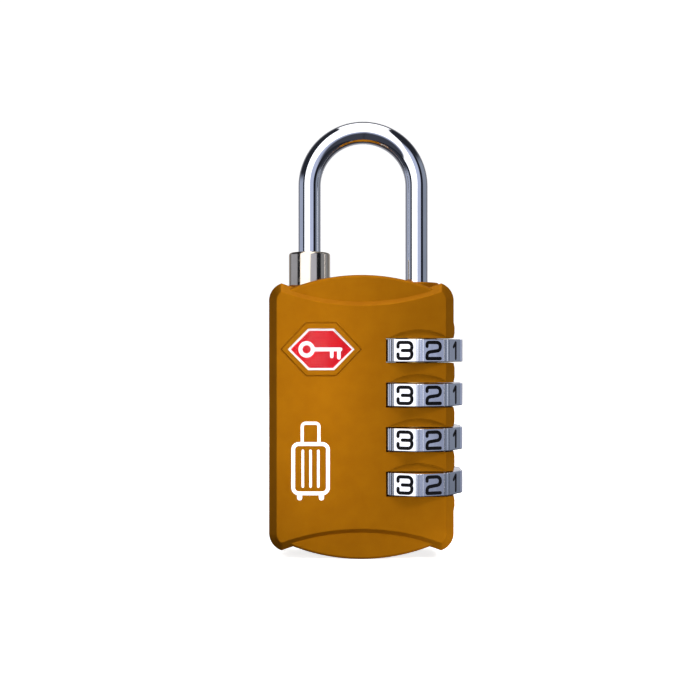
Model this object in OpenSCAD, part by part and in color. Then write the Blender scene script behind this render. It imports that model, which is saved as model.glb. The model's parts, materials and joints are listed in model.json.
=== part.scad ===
// Four-dial luggage padlock with an override key core.
// Millimetres. X runs across the face, +Z points up the shackle, and -Y faces the reader of the dials.
// The origin is the middle of the flat back face.

/* [Housing] */
// Width across the two sides
housing_w = 30; // [29:0.5:32]
// Thickness from the front face to the back face
housing_t = 12; // [11.6:0.1:13]
// Height from the tips of the lower ears to the tips of the upper ears
ear_h = 43.7; // [43:0.1:45]
// Height over the crests of the middle body, which bulges past the covers
crest_h = 46.1; // [45.6:0.1:47]
// Thickness of each cover plate
cover_t = 1.4; // [1.35:0.05:1.5]
// Width of the bevel around the face of a cover
bevel_w = 1.35; // [1:0.05:1.4]
// Depth of the same bevel
bevel_d = 1.2; // [1:0.05:1.3]

/* [Shackle] */
// Diameter of the shackle rod
rod_d = 3.75; // [3.6:0.05:3.8]
// Distance between the centres of the two legs
leg_gap = 17.85; // [17.6:0.05:18]
// Height of the bow's top above the housing's mid-height
bow_top = 48.95; // [46:0.05:52]
// How far the shackle lifts when the dials line up
lift = 5.9; // [5.7:0.1:6]

/* [Dials] */
// Distance from one dial to the next
dial_pitch = 7.18; // [7.1:0.02:7.3]
// Thickness of a dial
dial_t = 3.7; // [3.5:0.05:3.75]
// Radius to the flat digit panels
panel_r = 7.5; // [7.4:0.05:7.55]
// Radius to the ribs between the panels
rib_r = 7.75; // [7.6:0.05:7.8]
// Axial travel of the hubs when the code is reset
hub_travel = 1.2; // [1:0.1:1.25]

/* [Key side] */
// Outer diameter of the collar that holds the toe
collar_d = 6.95; // [6.9:0.05:7]
// Height of the collar's top above the housing's mid-height
collar_top = 27.05; // [26.8:0.05:27.2]
// How far the collar drops when the key turns a quarter turn
collar_drop = 5.1; // [5:0.05:5.15]

/* [Badge] */
// Width of the raised hexagonal boss, tip to tip
boss_w = 12.9; // [12:0.1:13.2]
// Height of the boss
boss_h = 8.47; // [8:0.05:8.8]
// Width of the window inside the boss, tip to tip
window_w = 10.8; // [10:0.1:11]
// Height of the window
window_h = 6.77; // [6.4:0.05:7]

/* [Hidden] */
$fn = 96;

eps = 0.02;
past = 1;
play = 0.15;
snug = 0.1;
half_w = housing_w / 2;
half_t = housing_t / 2;
ear_z = ear_h / 2;
crest_z = crest_h / 2;
corner_r = 3;

// Arcs across the top and the bottom: the covers curve in, the middle body curves out.
cover_arc_r = 37;
cover_mid_z = 19.35;
cover_arc_z = cover_mid_z + cover_arc_r;
lens_arc_r = 31;
lens_arc_z = crest_z - lens_arc_r;
lens_inset = 0.6;
lens_t = housing_t - 2 * lens_inset;
lens_round = 0.45;
face_arc_r = cover_arc_r + bevel_w * lens_inset / bevel_d;
seam_y = half_t - cover_t;
mask_round = 0.01;

// Pins that rivet the covers on: [x, z] of each.
pin_places = [[-13.3, 15], [-13.3, -15], [3.2, 16.8], [3.2, -16.8], [-2.2, 0]];
cover_pin_r = 0.6;
cover_pin_l = 10.4;

// Grip strip on the dial side
pad_rise = 0.22;
pad_half_z = 15.4;
pad_half_y = 4;

// Pockets in the middle body that open towards the back: [low x, high x].
detent_pocket = [0.2, 1.35];
detent_pocket_y = 2.5;
detent_pocket_z = 14.6;
core_pocket = [-3.9, -0.6];
core_pocket_y = 3.4;
core_pocket_z = [1.8, 14.4];

// Dial side: the long leg, the hubs and the dials share one axis.
dial_x = 9.25;
dial_z = [1.5, 0.5, -0.5, -1.5] * dial_pitch;
slot_r = 8;
slot_h = dial_t + 0.35;
dish_lap = 0.3;
dish_end = 0.1;
dish_side = 1;
dish_r = 42;
dish_w = 5;
dish_h = 1.4;
rod_r = rod_d / 2;
leg_bore_r = rod_r + 0.125;
hub_r = 3.5;
hub_h = dial_pitch - 0.08;
gate_h = 4.5;
gate_floor = hub_h / 2 - gate_h;
tooth_clear_r = 3.05;
tooth_r = 2.9;
tooth_w = 1.4;
tooth_h = 0.9;
hub_bore_r = 3.62;
dial_bore_r = 3.6;
lug_r = 4.05;
lug_w = 0.8;
lug_h = 1;
lug_z = -dial_t / 2 + snug;
lug_way_r = 4.2;
lug_way_w = 1.1;
notch_h = lug_h + 1.25;
stack_end = 1.5 * dial_pitch + hub_h / 2;
seat_gap = 0.28;
spring_gap = 0.03;
seat_bore_r = 3.85;
bushing_z = 16;
bushing_step = 20.2;
bushing_top = 22;
bushing_neck_r = 3.7;
plug_z = [-20.6, -18.9];
driver_w = 0.8;
driver_l = 4.8;
driver_depth = 0.7;
leg_end = -15.2;
leg_tip = 0.4;

// Leaf spring that clicks the dials
leaf_x = detent_pocket[0] + 0.05;
leaf_t = 0.2;
leaf_w = 4.8;
leaf_h = 28.8;
finger_w = 1.6;
finger_slit = 0.3;
finger_z = [-1.6, 1.9];
nib_x = dial_x - rib_r - 0.14;
nib_r = 0.4;
nib_z = 0.6;

// Key side: the collar, its stem, the cam and the key plug share one axis.
key_x = dial_x - leg_gap;
collar_r = collar_d / 2;
collar_bore_r = collar_r + 0.125;
collar_bottom = 15.5;
toe_bore_r = 2.05;
toe_spare = 1;
toe_engage = lift - toe_spare;
toe_end = collar_top - toe_engage;
toe_r = 1.72;
toe_top = collar_top - play;
toe_floor = toe_end - 0.3;
collar_round = 0.45;
stem_r = 1.5;
stem_end = 4.3;
stem_tip_z = 18.5;
stem_tip_r = 1;
pin_r = 0.5;
pin_z = 5.5;
pin_reach = 4;
washer_z = [7.95, 8.4];
washer_hole_r = 1.65;
pin_way_gap = 0.2;
cam_r = 3.3;
cam_bore_r = 1.75;
cam_z = [-3.5, 7.8];
cam_floor = 1.1;
cam_way_r = 3.45;
cam_steps = 12;
tang_gap = 0.08;
sleeve_r = 3.55;
sleeve_bore_r = 3.05;
sleeve_z = [-20.9, -5.25];
key_plug_r = 2.95;
key_plug_z = [-20.7, -5.2];
neck_r = 1.6;
groove_r = 1.3;
neck_top = -3.6;
tang_w = 2.6;
tang_t = 1;
tang_top = -2.6;
shoulder = 0.5;
clip_z = key_plug_z[1] + 0.04;
clip_t = 0.4;
clip_gap = 0.05;
keyway_w = 1;
keyway_l = 4.6;
keyway_top = -8;
wafer_count = 5;
wafer_pitch = 2.1;
wafer_z0 = -18.6;
wafer_t = 0.6;
wafer_w = 3.2;
wafer_l = 4.6;
wafer_slot = 0.06;
wafer_room_z = [-19.5, -8.5];
wafer_notch_x = 1.1;
wafer_notch_y = 1.8;
wafer_coil_x = 1.4;
wafer_coil_y = 1.75;

// Badge boss on the front cover
boss_x = -6.49;
boss_z = 10.95;
boss_rise = 0.2;
boss_flat = 4.9;
window_flat = 4.2;
badge_depth = 0.7;
badge_face = -half_t - boss_rise;
badge_floor = badge_face + badge_depth;
tray_t = 0.35;
enamel_t = 0.1;
field_w = window_w - 1.1;
field_h = window_h - 0.8;
field_flat = window_flat - 0.3;
dome_r = 60;
dome_low = 0.08;

// Bow of the shackle
bow_r = leg_gap / 2;
bow_z = bow_top - bow_r - rod_r;
bow_x = (dial_x + key_x) / 2;

orange = [0.72, 0.44, 0.06];
chrome = [0.82, 0.83, 0.86];
steel = [0.62, 0.63, 0.66];
nickel = [0.66, 0.63, 0.6];
brass = [0.78, 0.64, 0.32];

// Places a model that is built on the mid-plane so that its back face is at y = 0.
module on_back_face() {
    translate([0, -half_t, 0]) children();
}

// Cylinder from z0 to z1 on the axis at x, in the mid-plane.
module post(x, z0, z1, r) {
    translate([x, 0, z0]) cylinder(r = r, h = z1 - z0);
}

// Box given by its low and high corners.
module block(low, high) {
    translate(low) cube(high - low);
}

// Extrudes a drawing in X and Z along Y, centred on the mid-plane.
module across(t) {
    rotate([90, 0, 0]) linear_extrude(height = t, center = true) children();
}

// Disc on the Y axis with rounded rims.
module soft_disc(r, t, round_r) {
    rotate([90, 0, 0]) rotate_extrude() {
        square([r - round_r, t / 2]);
        translate([0, -t / 2]) square([r - round_r, t / 2]);
        translate([0, -t / 2 + round_r]) square([r, t - 2 * round_r]);
        for (side = [-1, 1])
            translate([r - round_r, side * (t / 2 - round_r)]) circle(r = round_r, $fn = 32);
    }
}

// Both ends of the housing: the children as drawn for the top, and mirrored for the bottom.
module top_and_bottom() {
    children();
    mirror([0, 0, 1]) children();
}

// Coil of round wire around the Z axis from z0 to z1, measured over the wire.
module coil(r, wire_r, z0, z1, turns, steps = 12, sides = 6) {
    rings = turns * steps;
    rise = (z1 - z0 - 2 * wire_r) / rings;
    ring = function (i) [
        for (k = [0 : sides - 1])
            let (a = 360 * i / steps, b = 360 * k / sides, d = r + wire_r * cos(b))
            [d * cos(a), d * sin(a), z0 + wire_r + rise * i + wire_r * sin(b)]
    ];
    points = [for (i = [0 : rings]) each ring(i)];
    wall = [
        for (i = [0 : rings - 1], k = [0 : sides - 1])
            let (a = i * sides + k, b = i * sides + (k + 1) % sides)
            each [[a, b, b + sides], [a, b + sides, a + sides]]
    ];
    first = [for (k = [1 : sides - 2]) [0, k + 1, k]];
    end = rings * sides;
    last = [for (k = [1 : sides - 2]) [end, end + k, end + k + 1]];
    polyhedron(points = points, faces = concat(wall, first, last));
}

// Region where the middle body shows beyond the covers, at the top.
module lens_top(t, round_r) {
    intersection() {
        translate([0, 0, lens_arc_z]) soft_disc(lens_arc_r, t, round_r);
        translate([0, 0, cover_arc_z]) across(t + 1) circle(r = face_arc_r, $fn = 180);
    }
}

// Outline shared by the covers and the middle body, without the bulges.
module outline() {
    difference() {
        union() {
            square([housing_w, 2 * (ear_z - corner_r)], center = true);
            square([housing_w - 2 * corner_r, 2 * ear_z], center = true);
            for (sx = [-1, 1], sz = [-1, 1])
                translate([sx * (half_w - corner_r), sz * (ear_z - corner_r)]) circle(r = corner_r);
        }
        for (sz = [-1, 1])
            translate([0, sz * cover_arc_z]) circle(r = cover_arc_r, $fn = 180);
    }
}

// Cover plate blank with its bevelled rim, face at y = -half_t.
module cover_blank() {
    rim_y = -half_t + bevel_d;
    difference() {
        union() {
            translate([0, 0, -(ear_z - corner_r)]) linear_extrude(height = 2 * (ear_z - corner_r))
                polygon([
                    [-half_w, -seam_y], [-half_w, rim_y], [-half_w + bevel_w, -half_t],
                    [half_w - bevel_w, -half_t], [half_w, rim_y], [half_w, -seam_y]
                ]);
            translate([-(half_w - corner_r), 0, 0]) rotate([0, 90, 0])
                linear_extrude(height = 2 * (half_w - corner_r))
                polygon([
                    [-ear_z, -seam_y], [-ear_z, rim_y], [-ear_z + bevel_w, -half_t],
                    [ear_z - bevel_w, -half_t], [ear_z, rim_y], [ear_z, -seam_y]
                ]);
            for (sx = [-1, 1], sz = [-1, 1])
                translate([sx * (half_w - corner_r), -half_t, sz * (ear_z - corner_r)]) rotate([-90, 0, 0]) {
                    cylinder(r1 = corner_r - bevel_w, r2 = corner_r, h = bevel_d);
                    translate([0, 0, bevel_d]) cylinder(r = corner_r, h = cover_t - bevel_d);
                }
        }
        top_and_bottom() translate([0, -half_t, cover_arc_z]) rotate([-90, 0, 0]) {
            cylinder(r1 = cover_arc_r + bevel_w, r2 = cover_arc_r, h = bevel_d, $fn = 180);
            translate([0, 0, bevel_d - eps]) cylinder(r = cover_arc_r, h = cover_t, $fn = 180);
            translate([0, 0, -past]) cylinder(r = cover_arc_r + bevel_w, h = past + eps, $fn = 180);
        }
        top_and_bottom() lens_top(lens_t, mask_round);
    }
}

// A shallow finger dish above every dial window.
module dishes() {
    arch_r = (dish_w * dish_w + dish_h * dish_h) / (2 * dish_h);
    drop = sqrt(dish_r * dish_r - arch_r * arch_r);
    for (z = dial_z)
        translate([dial_x, -half_t, z])
            intersection() {
                translate([0, -drop, slot_h / 2 + dish_h - arch_r]) sphere(r = dish_r, $fn = 180);
                block(
                    [-dish_w - dish_side, -past, slot_h / 2 - dish_lap],
                    [dish_w + dish_side, past, slot_h / 2 + dish_h + dish_end]
                );
            }
}

// The four windows that the dials show through.
module dial_windows() {
    for (z = dial_z) post(dial_x, z - slot_h / 2, z + slot_h / 2, slot_r);
}

// Hidden pins through the covers and the middle body.
module pin_row() {
    for (p = pin_places)
        translate([p[0], 0, p[1]]) rotate([90, 0, 0])
            cylinder(r = cover_pin_r, h = cover_pin_l, center = true, $fn = 48);
}

module hexagon(w, h, flat) {
    polygon([
        [-w / 2, 0], [-flat / 2, h / 2], [flat / 2, h / 2],
        [w / 2, 0], [flat / 2, -h / 2], [-flat / 2, -h / 2]
    ]);
}

// Hexagonal prism on the badge's centre, from y0 to y1.
module badge_prism(w, h, flat, y0, y1) {
    translate([boss_x, y1, boss_z]) rotate([90, 0, 0])
        linear_extrude(height = y1 - y0) hexagon(w, h, flat);
}

// The same for the red field inside the tray.
module field_prism(y0, y1) {
    badge_prism(field_w, field_h, field_flat, y0, y1);
}

module front_cover() {
    color(orange) difference() {
        union() {
            cover_blank();
            badge_prism(boss_w, boss_h, boss_flat, badge_face, -half_t + boss_rise);
        }
        badge_prism(window_w, window_h, window_flat, badge_face - past, badge_floor);
        dial_windows();
        dishes();
        pin_row();
    }
}

module back_cover() {
    color(orange) difference() {
        mirror([0, 1, 0]) cover_blank();
        dial_windows();
        mirror([0, 1, 0]) dishes();
        pin_row();
    }
}

// Raised strip down the dial side, where fingertips roll the dials.
module side_pad() {
    translate([half_w, -pad_half_y, 0]) rotate([-90, 0, 0]) linear_extrude(height = 2 * pad_half_y)
        polygon([
            [-past, -pad_half_z], [0, -pad_half_z], [pad_rise, -pad_half_z + pad_rise],
            [pad_rise, pad_half_z - pad_rise], [0, pad_half_z], [-past, pad_half_z]
        ]);
}

module middle_body() {
    color(orange) difference() {
        union() {
            across(2 * seam_y) outline();
            top_and_bottom() lens_top(lens_t, lens_round);
            side_pad();
        }
        dial_windows();
        // Leg, hub and spring bore, stepped.
        post(dial_x, -crest_z, -stack_end - seat_gap, seat_bore_r);
        post(dial_x, -stack_end - past, bushing_z, hub_bore_r);
        post(dial_x, bushing_z, crest_z, seat_bore_r);
        for (z = dial_z)
            post(dial_x, z + lug_z - hub_travel - play, z, lug_way_r);
        block(
            [dial_x - lug_way_r, -lug_way_w / 2, -stack_end - past],
            [dial_x, lug_way_w / 2, dial_z[0]]
        );
        // Collar, cam and key bores, stepped.
        post(key_x, washer_z[0], crest_z + past, collar_bore_r);
        post(key_x, sleeve_z[1], washer_z[0] + eps, cam_way_r);
        post(key_x, -crest_z, sleeve_z[1] + eps, sleeve_r);
        block(
            [key_x - pin_reach - pin_way_gap, -pin_r - snug, pin_z - collar_drop - pin_r - pin_way_gap],
            [key_x + pin_reach + pin_way_gap, pin_r + snug, washer_z[0]]
        );
        // Pockets that open towards the back cover.
        block(
            [detent_pocket[0], -detent_pocket_y, -detent_pocket_z],
            [detent_pocket[1], seam_y + past, detent_pocket_z]
        );
        top_and_bottom() block(
            [core_pocket[0], -core_pocket_y, core_pocket_z[0]],
            [core_pocket[1], seam_y + past, core_pocket_z[1]]
        );
        pin_row();
    }
}

module cover_pins() {
    color(steel) pin_row();
}

module badge_plate() {
    color("white") difference() {
        badge_prism(window_w, window_h, window_flat, badge_face + snug, badge_floor);
        field_prism(badge_face - past, badge_floor - tray_t);
    }
}

module badge_enamel() {
    color([0.75, 0.03, 0.12]) field_prism(badge_floor - tray_t - enamel_t, badge_floor - tray_t);
}

module badge_dome() {
    color([0.9, 0.95, 1]) intersection() {
        field_prism(badge_face - past, badge_floor - tray_t - enamel_t);
        translate([boss_x, badge_face + dome_r - dome_low, boss_z]) sphere(r = dome_r, $fn = 180);
    }
}

// Leaf spring with one finger per dial; each finger ends in a rounded nib beside its dial.
module detent_spring() {
    slit_y = (finger_w + finger_slit) / 2;
    color(steel) {
        difference() {
            block([leaf_x, -leaf_w / 2, -leaf_h / 2], [leaf_x + leaf_t, leaf_w / 2, leaf_h / 2]);
            for (z = dial_z, side = [-1, 1])
                block(
                    [leaf_x - past, side * slit_y - finger_slit / 2, z + finger_z[0]],
                    [leaf_x + past, side * slit_y + finger_slit / 2, z + finger_z[1]]
                );
        }
        for (z = dial_z)
            intersection() {
                translate([nib_x - nib_r, -finger_w / 2, z + nib_z]) rotate([-90, 0, 0])
                    cylinder(r = nib_r, h = finger_w);
                block([leaf_x, -past, z], [nib_x + past, past, z + 2 * past]);
            }
    }
}

module clutch_spring() {
    color(steel) translate([dial_x, 0, 0]) coil(3.25, 0.25, plug_z[1], -stack_end - spring_gap, 4);
}

module shackle_spring() {
    color(steel) translate([dial_x, 0, 0]) coil(1.45, 0.2, plug_z[1], leg_end - spring_gap, 5);
}

module spring_plug() {
    color(steel) difference() {
        post(dial_x, plug_z[0], plug_z[1], seat_bore_r);
        block(
            [dial_x - driver_l / 2, -driver_w / 2, plug_z[0] - past],
            [dial_x + driver_l / 2, driver_w / 2, plug_z[0] + driver_depth]
        );
    }
}

// Bushing pressed in above the hubs: it guides the long leg and stops the top tooth.
module leg_bushing() {
    color(orange) difference() {
        union() {
            post(dial_x, bushing_z, bushing_step, seat_bore_r);
            post(dial_x, bushing_step - eps, bushing_top, bushing_neck_r);
        }
        post(dial_x, bushing_z - past, bushing_top + past, leg_bore_r);
    }
}

module key_sleeve() {
    color(brass) difference() {
        post(key_x, sleeve_z[0], sleeve_z[1], sleeve_r);
        post(key_x, sleeve_z[0] - past, sleeve_z[1] + past, sleeve_bore_r);
        block(
            [key_x - wafer_w / 2 - snug, -cam_r, wafer_room_z[0]],
            [key_x + wafer_w / 2 + snug, cam_r, wafer_room_z[1]]
        );
    }
}

module spring_washer() {
    color(steel) difference() {
        post(key_x, washer_z[0], washer_z[1], collar_bore_r);
        post(key_x, washer_z[0] - past, washer_z[1] + past, washer_hole_r);
    }
}

module collar_spring() {
    color(steel) translate([key_x, 0, 0]) coil(2.15, 0.2, washer_z[1], collar_bottom - spring_gap, 6);
}

// One tooth of the long leg, pointing at the front, for the hub at height z.
module tooth(z) {
    top = z + gate_floor - play;
    intersection() {
        post(dial_x, top - tooth_h, top, tooth_r);
        block([dial_x - tooth_w / 2, -tooth_r, top - tooth_h], [dial_x + tooth_w / 2, 0, top]);
    }
}

module shackle() {
    color(chrome) union() {
        translate([bow_x, 0, bow_z]) rotate([90, 0, 0]) rotate_extrude(angle = 180, $fn = 128)
            translate([bow_r, 0]) circle(r = rod_r, $fn = 64);
        post(dial_x, leg_end, bow_z, rod_r);
        for (z = dial_z) tooth(z);
        post(key_x, toe_top, bow_z, rod_r);
        post(key_x, toe_end + leg_tip, toe_top, toe_r);
        translate([key_x, 0, toe_end]) cylinder(r1 = toe_r - leg_tip, r2 = toe_r, h = leg_tip);
    }
}

// Number wheel: ten flat panels between ten ribs, and ten notches inside for the hub's lug.
module dial(z) {
    translate([dial_x, 0, z]) difference() {
        intersection() {
            cylinder(r = rib_r, h = dial_t, center = true);
            rotate(18) cylinder(r = panel_r / cos(18), h = dial_t, center = true, $fn = 10);
        }
        cylinder(r = dial_bore_r, h = dial_t + past, center = true);
        translate([0, 0, -dial_t / 2 - past]) for (k = [0 : 9]) rotate(36 * k)
            block([0, -lug_w / 2 - snug, 0], [lug_r + play, lug_w / 2 + snug, notch_h]);
    }
}

module dial_1() { color(chrome) dial(dial_z[0]); }
module dial_2() { color(chrome) dial(dial_z[1]); }
module dial_3() { color(chrome) dial(dial_z[2]); }
module dial_4() { color(chrome) dial(dial_z[3]); }

// Hub inside a dial: its upper part is gated for one tooth, and its lower part lets the tooth turn free.
module hub(z) {
    gate_w = tooth_w + 2 * play;
    translate([dial_x, 0, z]) difference() {
        union() {
            cylinder(r = hub_r, h = hub_h, center = true);
            intersection() {
                translate([0, 0, lug_z]) cylinder(r = lug_r, h = lug_h);
                block([-lug_r - past, -lug_w / 2, lug_z], [0, lug_w / 2, lug_z + lug_h]);
            }
        }
        cylinder(r = leg_bore_r, h = hub_h + past, center = true);
        translate([0, 0, -hub_h / 2 - past])
            cylinder(r = tooth_clear_r, h = gate_floor + hub_h / 2 + past);
        block([-gate_w / 2, -tooth_clear_r, gate_floor - eps], [gate_w / 2, 0, hub_h]);
    }
}

module hub_1() { color(brass) hub(dial_z[0]); }
module hub_2() { color(brass) hub(dial_z[1]); }
module hub_3() { color(brass) hub(dial_z[2]); }
module hub_4() { color(brass) hub(dial_z[3]); }

function wafer_z(i) = wafer_z0 + wafer_pitch * i;

module key_plug() {
    color(brass) difference() {
        union() {
            post(key_x, key_plug_z[0], key_plug_z[1], key_plug_r);
            post(key_x, key_plug_z[1] - eps, neck_top, groove_r);
            post(key_x, key_plug_z[1] + shoulder, neck_top, neck_r);
            block(
                [key_x - tang_w / 2, -tang_t / 2, neck_top - eps],
                [key_x + tang_w / 2, tang_t / 2, tang_top]
            );
        }
        block(
            [key_x - keyway_w / 2, -keyway_l / 2, key_plug_z[0] - past],
            [key_x + keyway_w / 2, keyway_l / 2, keyway_top]
        );
        for (i = [0 : wafer_count - 1])
            block(
                [key_x - wafer_w / 2 - wafer_slot, -cam_r, wafer_z(i) - wafer_slot],
                [key_x + wafer_w / 2 + wafer_slot, cam_r, wafer_z(i) + wafer_t + wafer_slot]
            );
    }
}

// Flat tumblers, drawn pulled in by the key so that the plug can turn.
module key_wafers() {
    color(steel) for (i = [0 : wafer_count - 1]) {
        bite = 1.5 + 0.25 * ((i * 2) % 3);
        difference() {
            block(
                [key_x - wafer_w / 2, -wafer_l / 2, wafer_z(i)],
                [key_x + wafer_w / 2, wafer_l / 2, wafer_z(i) + wafer_t]
            );
            block(
                [key_x - keyway_w / 2 - snug, -bite, wafer_z(i) - past],
                [key_x + keyway_w / 2 + snug, bite, wafer_z(i) + past]
            );
            block(
                [key_x + wafer_notch_x, -wafer_notch_y, wafer_z(i) - past],
                [key_x + wafer_w, wafer_notch_y, wafer_z(i) + past]
            );
        }
    }
}

// A small coil in the notch of each wafer pushes it out again.
module wafer_springs() {
    color(steel) for (i = [0 : wafer_count - 1])
        translate([key_x + wafer_coil_x, 0, wafer_z(i) + wafer_t / 2]) rotate([90, 0, 0])
            coil(0.18, 0.06, -wafer_coil_y, wafer_coil_y, 6, 8, 4);
}

module plug_clip() {
    color(steel) difference() {
        post(key_x, clip_z, clip_z + clip_t, cam_r);
        post(key_x, clip_z - past, clip_z + past, groove_r + clip_gap);
        block([key_x - 1, 0, clip_z - past], [key_x + 1, cam_r + past, clip_z + past]);
    }
}

// Barrel whose helical slots pull the collar's pin down as it turns.
module cam_barrel() {
    color(steel) difference() {
        post(key_x, cam_z[0], cam_z[1], cam_r);
        post(key_x, cam_z[0] + cam_floor, cam_z[1] + past, cam_bore_r);
        block(
            [key_x - tang_w / 2 - tang_gap, -tang_t / 2 - tang_gap, cam_z[0] - past],
            [key_x + tang_w / 2 + tang_gap, tang_t / 2 + tang_gap, cam_z[0] + cam_floor + past]
        );
        for (i = [0 : cam_steps])
            translate([key_x, 0, pin_z - collar_drop * i / cam_steps])
                rotate([0, 90, -90 * i / cam_steps])
                cylinder(r = pin_r + play, h = 2 * (cam_r + past), center = true, $fn = 32);
    }
}

module collar() {
    color(nickel) difference() {
        union() {
            post(key_x, collar_bottom, collar_top - collar_round, collar_r);
            translate([key_x, 0, collar_top - collar_round]) rotate_extrude() intersection() {
                union() {
                    square([collar_r - collar_round, collar_round]);
                    translate([collar_r - collar_round, 0]) circle(r = collar_round, $fn = 32);
                }
                square([collar_r, collar_round]);
            }
        }
        post(key_x, toe_floor, collar_top + past, toe_bore_r);
        post(key_x, collar_bottom - past, stem_tip_z, stem_tip_r);
    }
}

module collar_stem() {
    color(steel) difference() {
        union() {
            post(key_x, stem_end, collar_bottom, stem_r);
            post(key_x, collar_bottom - eps, stem_tip_z, stem_tip_r);
        }
        translate([key_x, 0, pin_z]) rotate([0, 90, 0])
            cylinder(r = pin_r, h = 2 * (stem_r + past), center = true, $fn = 32);
    }
}

module collar_pin() {
    color(steel) translate([key_x, 0, pin_z]) rotate([0, 90, 0])
        cylinder(r = pin_r, h = 2 * pin_reach, center = true, $fn = 32);
}

on_back_face() front_cover();
on_back_face() middle_body();
on_back_face() back_cover();
on_back_face() cover_pins();
on_back_face() badge_plate();
on_back_face() badge_enamel();
on_back_face() badge_dome();
on_back_face() detent_spring();
on_back_face() clutch_spring();
on_back_face() shackle_spring();
on_back_face() spring_plug();
on_back_face() leg_bushing();
on_back_face() key_sleeve();
on_back_face() spring_washer();
on_back_face() collar_spring();
on_back_face() shackle();
on_back_face() dial_1();
on_back_face() dial_2();
on_back_face() dial_3();
on_back_face() dial_4();
on_back_face() hub_1();
on_back_face() hub_2();
on_back_face() hub_3();
on_back_face() hub_4();
on_back_face() key_plug();
on_back_face() key_wafers();
on_back_face() wafer_springs();
on_back_face() plug_clip();
on_back_face() cam_barrel();
on_back_face() collar();
on_back_face() collar_stem();
on_back_face() collar_pin();
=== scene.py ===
import json
import math

import bmesh
import bpy
from mathutils import Matrix, Vector


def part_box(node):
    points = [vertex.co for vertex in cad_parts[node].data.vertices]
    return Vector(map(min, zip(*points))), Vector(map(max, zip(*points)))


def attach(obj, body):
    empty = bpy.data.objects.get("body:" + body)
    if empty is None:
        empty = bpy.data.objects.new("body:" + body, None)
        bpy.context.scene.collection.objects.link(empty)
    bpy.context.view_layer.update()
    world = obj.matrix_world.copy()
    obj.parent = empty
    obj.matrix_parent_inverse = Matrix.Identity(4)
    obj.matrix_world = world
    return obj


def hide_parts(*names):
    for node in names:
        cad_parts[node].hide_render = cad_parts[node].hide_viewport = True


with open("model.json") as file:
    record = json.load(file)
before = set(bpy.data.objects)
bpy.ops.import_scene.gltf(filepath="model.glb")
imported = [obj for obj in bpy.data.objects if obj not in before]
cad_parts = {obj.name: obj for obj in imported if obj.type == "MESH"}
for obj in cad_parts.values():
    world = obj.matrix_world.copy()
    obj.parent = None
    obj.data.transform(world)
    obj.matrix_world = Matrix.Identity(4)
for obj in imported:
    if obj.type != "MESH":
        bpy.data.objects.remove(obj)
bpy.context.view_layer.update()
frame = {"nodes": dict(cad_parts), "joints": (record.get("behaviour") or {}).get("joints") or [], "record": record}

# ---------------------------------------------------------------------------
# Sizes, in metres, read from the frame where it has them
# ---------------------------------------------------------------------------
MM = 0.001
joints = {j["name"]: j for j in frame["joints"]}
DIALS = [1, 2, 3, 4]
DIGITS = 10
PANEL_DEG = 360 / DIGITS

cover_lo, cover_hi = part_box("front_cover")
back_lo, back_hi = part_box("back_cover")
body_lo, body_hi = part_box("middle_body")
dial_lo, dial_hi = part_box("dial_1")
collar_lo, collar_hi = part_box("collar")
shackle_lo, shackle_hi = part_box("shackle")
bushing_lo, bushing_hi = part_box("leg_bushing")

HALF_W = cover_hi.x
BOSS_RISE = 0.2 * MM
FACE_Y = cover_lo.y + BOSS_RISE
BACK_Y = back_hi.y
MID_Y = (FACE_Y + BACK_Y) / 2
COVER_T = back_hi.y - back_lo.y
LENS_HALF_T = (body_hi.y - body_lo.y) / 2
SEAM_HALF_T = (BACK_Y - FACE_Y) / 2 - COVER_T
CREST_Z = body_hi.z

# Outline of the covers: round ears at the corners and hollow arcs between them
CORNER_R = 3 * MM
EAR_Z = 21.85 * MM
ARC_R = 37 * MM
ARC_Z = 19.35 * MM + ARC_R
BEVEL_W = 1.35 * MM
BEVEL_D = 1.2 * MM
LENS_R = 31 * MM
LENS_Z = CREST_Z - LENS_R

DIAL_X = joints["dial_1_turn"]["pos_m"][0]
DIAL_Z = [joints[f"dial_{n}_turn"]["pos_m"][2] for n in DIALS]
DIAL_T = dial_hi.z - dial_lo.z
RIB_R = (dial_hi.y - dial_lo.y) / 2
PANEL_R = 7.45 * MM
DIAL_BORE_R = 3.6 * MM
SLOT_R = 8 * MM
SLOT_H = DIAL_T + 0.35 * MM

KEY_X = joints["key_turn"]["pos_m"][0]
COLLAR_R = (collar_hi.x - collar_lo.x) / 2
ROD_R = 1.875 * MM
BOW_R = (DIAL_X - KEY_X) / 2
BOW_X = (DIAL_X + KEY_X) / 2
BOW_Z = shackle_hi.z - ROD_R - BOW_R

BADGE_X = -6.49 * MM
BADGE_Z = 10.95 * MM


# ---------------------------------------------------------------------------
# Mesh helpers
# ---------------------------------------------------------------------------
def new_object(name, verts, faces):
    """A mesh object from points and faces, with its normals made consistent."""
    mesh = bpy.data.meshes.new(name)
    mesh.from_pydata([tuple(v) for v in verts], [], faces)
    bm = bmesh.new()
    bm.from_mesh(mesh)
    bmesh.ops.remove_doubles(bm, verts=bm.verts, dist=1e-7)
    bmesh.ops.recalc_face_normals(bm, faces=bm.faces)
    bm.to_mesh(mesh)
    bm.free()
    obj = bpy.data.objects.new(name, mesh)
    bpy.context.scene.collection.objects.link(obj)
    return obj


def bake_modifiers(obj):
    """Replaces the object's mesh with its evaluated mesh and drops the modifiers."""
    bpy.context.view_layer.update()
    graph = bpy.context.evaluated_depsgraph_get()
    mesh = bpy.data.meshes.new_from_object(obj.evaluated_get(graph))
    obj.modifiers.clear()
    obj.data = mesh
    return obj


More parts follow.
